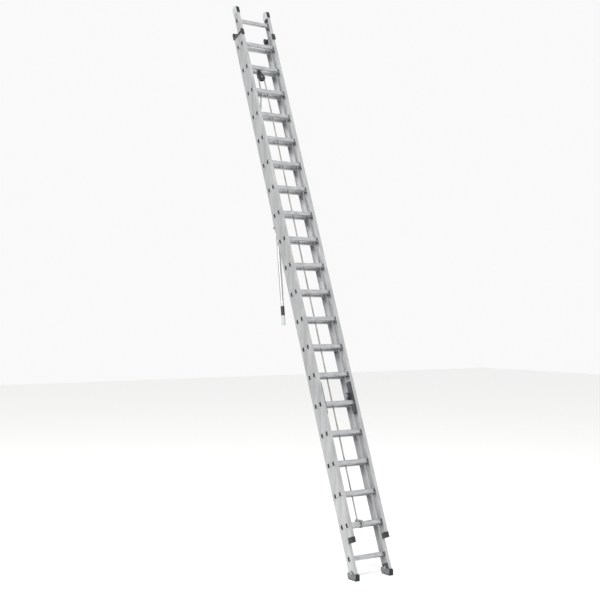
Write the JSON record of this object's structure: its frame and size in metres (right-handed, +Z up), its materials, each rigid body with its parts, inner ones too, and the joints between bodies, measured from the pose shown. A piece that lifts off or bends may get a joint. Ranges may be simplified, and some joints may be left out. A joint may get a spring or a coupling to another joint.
{
  "type": "extension ladder",
  "caption": "Two-section aluminium extension ladder with channel rails, oval rungs, rope and pulley, gravity rung locks, swivel shoes and a telescopic stay, leaning as in use.",
  "frame": {"origin": "midway between the two soles, on the floor", "axes": "+Z up; +X to the climber's right along the rungs; the climber stands on the -Y side and the ladder leans back towards +Y by 21.5 degrees"},
  "size_m": [0.465, 2.3697, 6.0733],
  "materials": {
    "rail_aluminium": "mill-finish extruded aluminium with fine draw lines",
    "rung_aluminium": "ribbed extruded aluminium",
    "black_plastic": "moulded black nylon",
    "dark_casting": "die-cast aluminium, dark grey",
    "zinc_steel": "zinc-plated steel",
    "shoe_steel": "plated pressed steel",
    "pad_rubber": "moulded rubber tread",
    "cap_grey": "moulded light-grey plastic",
    "rope_fibre": "laid polypropylene rope"
  },
  "bodies": {
    "base": {"base_rail_left": "rail_aluminium", "base_rail_right": "rail_aluminium", "base_rungs": "rung_aluminium", "top_guide_left": "black_plastic", "top_guide_right": "black_plastic", "guide_rivets": "zinc_steel", "boot_left": "dark_casting", "boot_right": "dark_casting", "boot_rivets": "zinc_steel", "shoe_bolt_left": "zinc_steel", "shoe_bolt_right": "zinc_steel", "pulley_hanger": "dark_casting", "pulley_cheeks": "dark_casting", "pulley_axle": "zinc_steel", "rope_run": "rope_fibre", "rope_haul": "rope_fibre", "rope_hitch": "rope_fibre", "stay_bracket": "dark_casting", "stay_bracket_bolts": "zinc_steel", "stay_pin": "zinc_steel", "stay_clip": "black_plastic"},
    "fly": {"fly_rail_left": "rail_aluminium", "fly_rail_right": "rail_aluminium", "fly_rungs": "rung_aluminium", "top_cap_left": "cap_grey", "top_cap_right": "cap_grey", "top_pad_left": "pad_rubber", "top_pad_right": "pad_rubber", "bottom_cap_left": "black_plastic", "bottom_cap_right": "black_plastic", "cap_rivets": "zinc_steel", "lock_casting_left": "dark_casting", "lock_casting_right": "dark_casting", "lock_bolts": "zinc_steel", "lock_pins": "zinc_steel", "lock_spring_left": "zinc_steel", "lock_spring_right": "zinc_steel", "rope_knot": "rope_fibre"},
    "sheave": {"pulley_sheave": "black_plastic"},
    "shoe_left": {"shoe_left": "shoe_steel", "shoe_pad_left": "pad_rubber"},
    "shoe_right": {"shoe_right": "shoe_steel", "shoe_pad_right": "pad_rubber"},
    "lock_left": {"pawl_left": "dark_casting", "finger_pins_left": "zinc_steel"},
    "lock_right": {"pawl_right": "dark_casting", "finger_pins_right": "zinc_steel"},
    "finger_left": {"finger_left": "black_plastic"},
    "finger_right": {"finger_right": "black_plastic"},
    "stay": {"stay_head": "black_plastic", "stay_tube": "rail_aluminium"},
    "stay_inner": {"stay_inner": "rung_aluminium", "stay_grip": "black_plastic", "stay_foot": "cap_grey"}
  },
  "joints": [
    {"name": "fly_slide", "type": "slide", "parent": "base", "child": "fly", "axis": [0, 0.3665, 0.9304], "range_m": [0, 4.2672], "deforming": ["rope_run"]},
    {"name": "sheave_spin", "type": "hinge", "parent": "base", "child": "sheave", "pos_m": [-0.03, 1.98521, 5.22306], "axis": [0, 0.9304, -0.3665], "continuous": true},
    {"name": "shoe_left_swivel", "type": "hinge", "parent": "base", "child": "shoe_left", "pos_m": [-0.203, 0, 0.066], "axis": [1, 0, 0], "range_deg": [-35, 55]},
    {"name": "shoe_right_swivel", "type": "hinge", "parent": "base", "child": "shoe_right", "pos_m": [0.203, 0, 0.066], "axis": [1, 0, 0], "range_deg": [-35, 55]},
    {"name": "lock_left_swing", "type": "hinge", "parent": "fly", "child": "lock_left", "pos_m": [-0.168, 0.58844, 1.65533], "axis": [1, 0, 0], "range_deg": [-120, 0], "stiffness_Nm_per_rad": 0.4, "springref_deg": 28.65},
    {"name": "finger_left_swing", "type": "hinge", "parent": "lock_left", "child": "finger_left", "pos_m": [-0.157, 0.58105, 1.70478], "axis": [1, 0, 0], "range_deg": [-20, 60]},
    {"name": "lock_right_swing", "type": "hinge", "parent": "fly", "child": "lock_right", "pos_m": [0.168, 0.58844, 1.65533], "axis": [1, 0, 0], "range_deg": [-120, 0], "stiffness_Nm_per_rad": 0.4, "springref_deg": 28.65},
    {"name": "finger_right_swing", "type": "hinge", "parent": "lock_right", "child": "finger_right", "pos_m": [0.157, 0.58105, 1.70478], "axis": [1, 0, 0], "range_deg": [-20, 60]},
    {"name": "stay_swing", "type": "hinge", "parent": "base", "child": "stay", "pos_m": [-0.18, 1.40037, 3.42187], "axis": [1, 0, 0], "range_deg": [-13.5, 55]},
    {"name": "stay_extend", "type": "slide", "parent": "stay", "child": "stay_inner", "axis": [0, -0.1271, -0.9919], "range_m": [0, 0.2]}
  ],
  "couplings": [
    {"joint": "sheave_spin", "follows": "fly_slide", "rad_per_m": -27.397}
  ]
}
